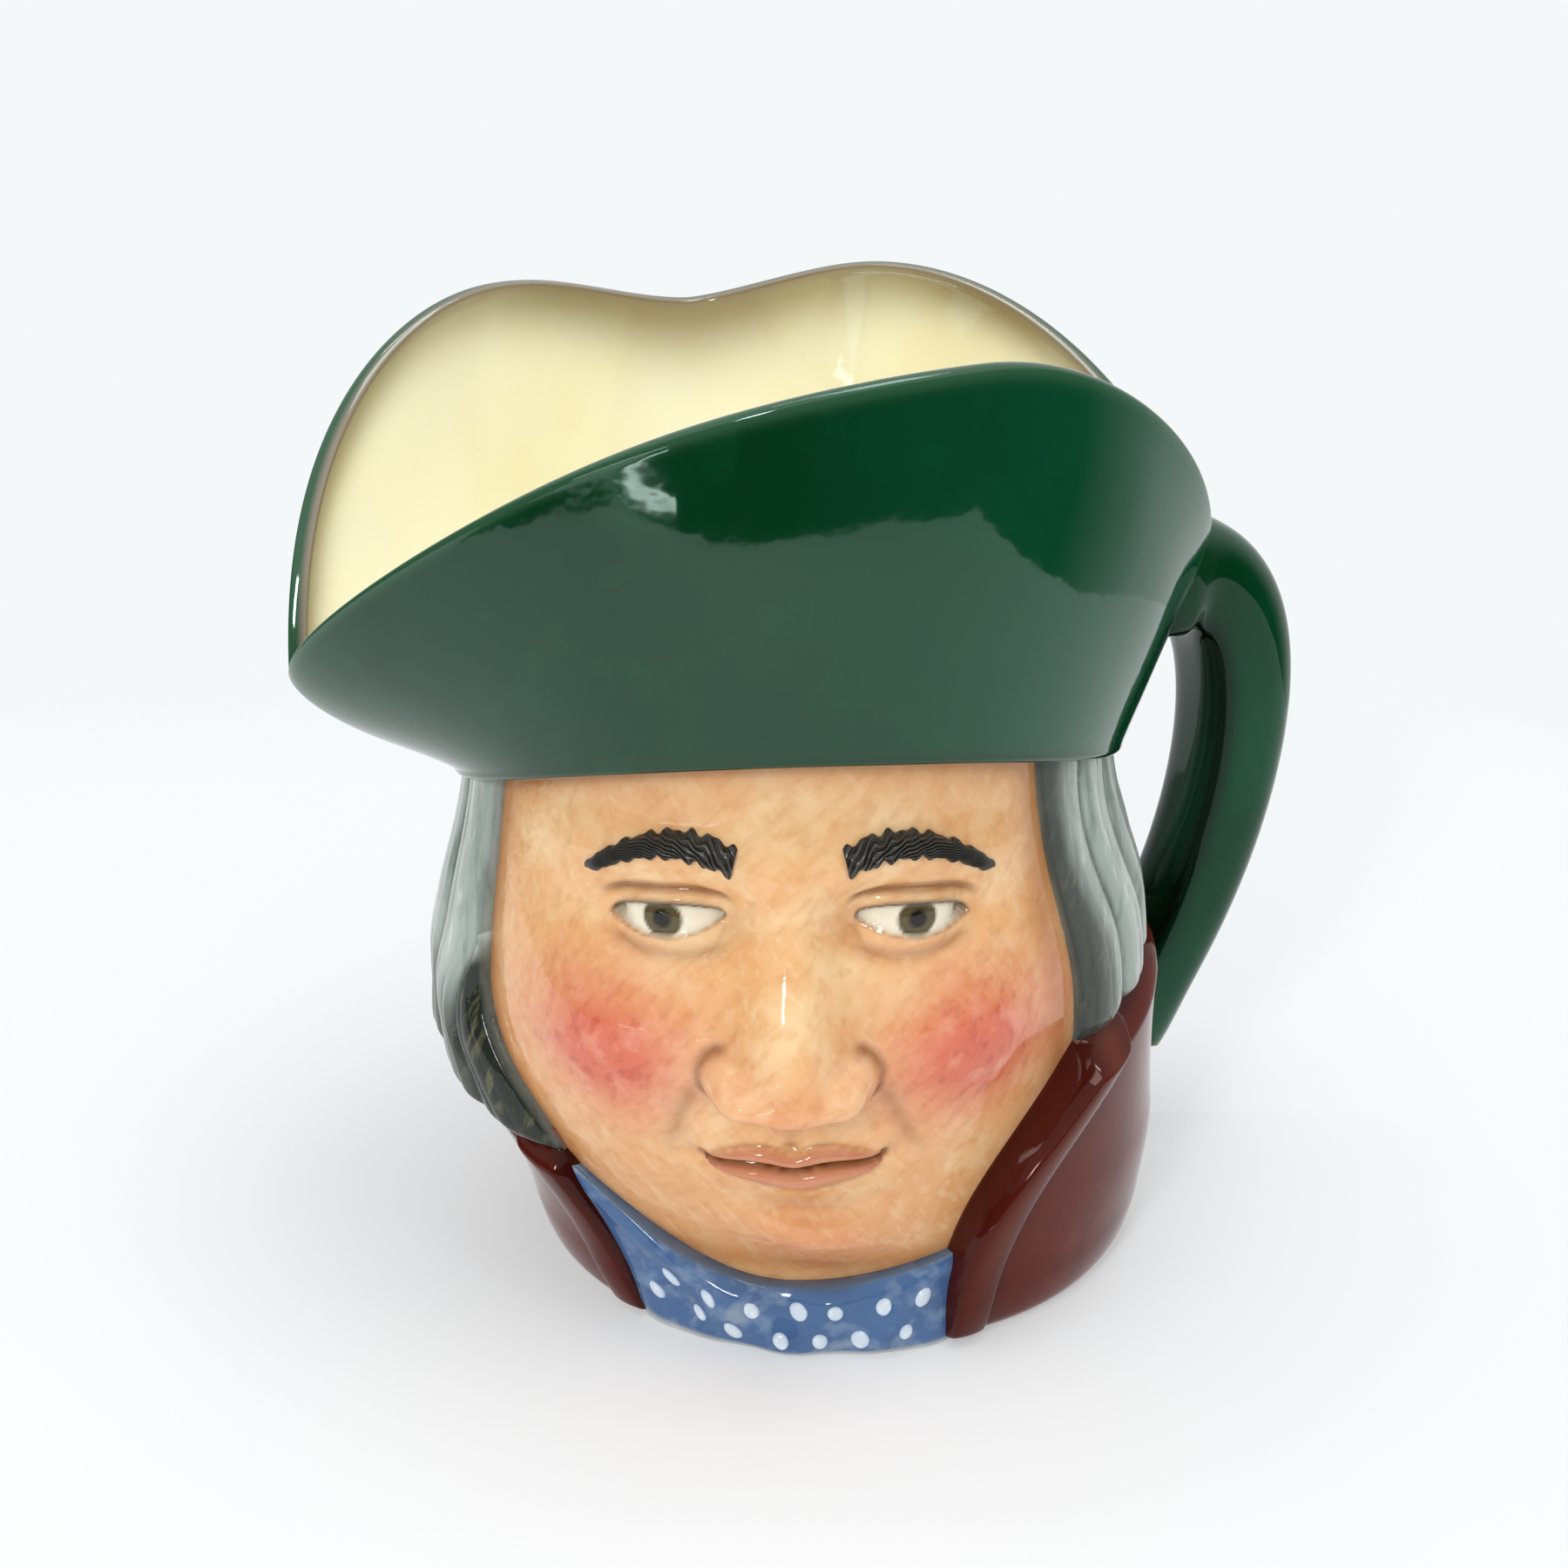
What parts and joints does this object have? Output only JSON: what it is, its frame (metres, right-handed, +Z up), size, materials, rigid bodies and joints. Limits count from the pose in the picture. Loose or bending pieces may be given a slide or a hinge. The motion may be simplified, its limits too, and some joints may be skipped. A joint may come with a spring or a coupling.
{
  "type": "character jug",
  "caption": "Glazed earthenware jug shaped as a head in a cocked hat, with long hair, coat and spotted neckerchief, a loop handle and a pouring lip at one hat corner.",
  "frame": {"origin": "on the table under the middle of the foot ring", "axes": "+Z up, the face looks along -Y, the handle is on the +X side and the pouring lip on the -X side"},
  "size_m": [0.1729, 0.1435, 0.1635],
  "materials": {
    "bare_clay": "unglazed, ground flat",
    "flesh_glaze": "glossy, brown wash in the tooling, cream inside",
    "green_glaze": "glossy dark green, cream inside the hat",
    "hair_glaze": "glossy streaked grey",
    "brow_glaze": "glossy black over tooling",
    "coat_glaze": "glossy maroon brown",
    "kerchief_glaze": "glossy mottled blue",
    "spot_enamel": "glossy pale spots"
  },
  "bodies": {
    "root": {"foot": "bare_clay", "head_wall": "flesh_glaze", "hat": "green_glaze", "handle": "green_glaze", "hair_right_side": "hair_glaze", "hair_left_side": "hair_glaze", "hair_back": "hair_glaze", "eyebrow_right": "brow_glaze", "eyebrow_left": "brow_glaze", "coat": "coat_glaze", "collar_right": "coat_glaze", "collar_left": "coat_glaze", "neckerchief": "kerchief_glaze", "neckerchief_dots": "spot_enamel"}
  },
  "joints": []
}
